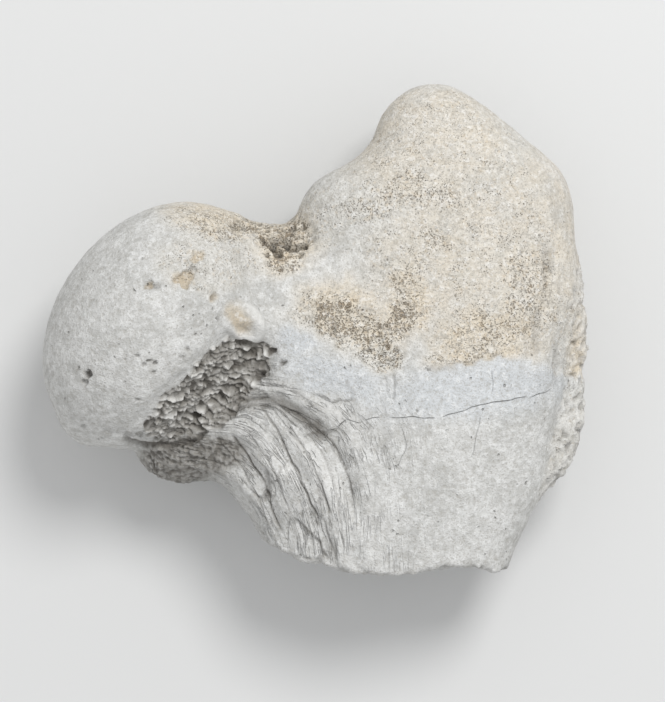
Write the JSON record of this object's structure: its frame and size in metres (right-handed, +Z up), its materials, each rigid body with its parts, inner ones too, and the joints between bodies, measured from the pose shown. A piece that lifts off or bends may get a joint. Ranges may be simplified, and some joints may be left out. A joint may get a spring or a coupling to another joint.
{
  "type": "fossil femur end",
  "caption": "Hip end of a small hoofed mammal's fossil femur: ball head, short neck, tall greater trochanter and a shaft broken off short. A still display model.",
  "frame": {"origin": "middle of the bone's footprint, on the surface it lies on", "axes": "+X from the ball head to the greater trochanter, +Y from the broken shaft to the trochanter's summit, +Z up, out of the front face"},
  "size_m": [0.0502, 0.0448, 0.0234],
  "materials": {
    "fossil_bone": "matt, mineralised bone"
  },
  "bodies": {
    "root": {"femur_hip_end": "fossil_bone"}
  },
  "joints": []
}
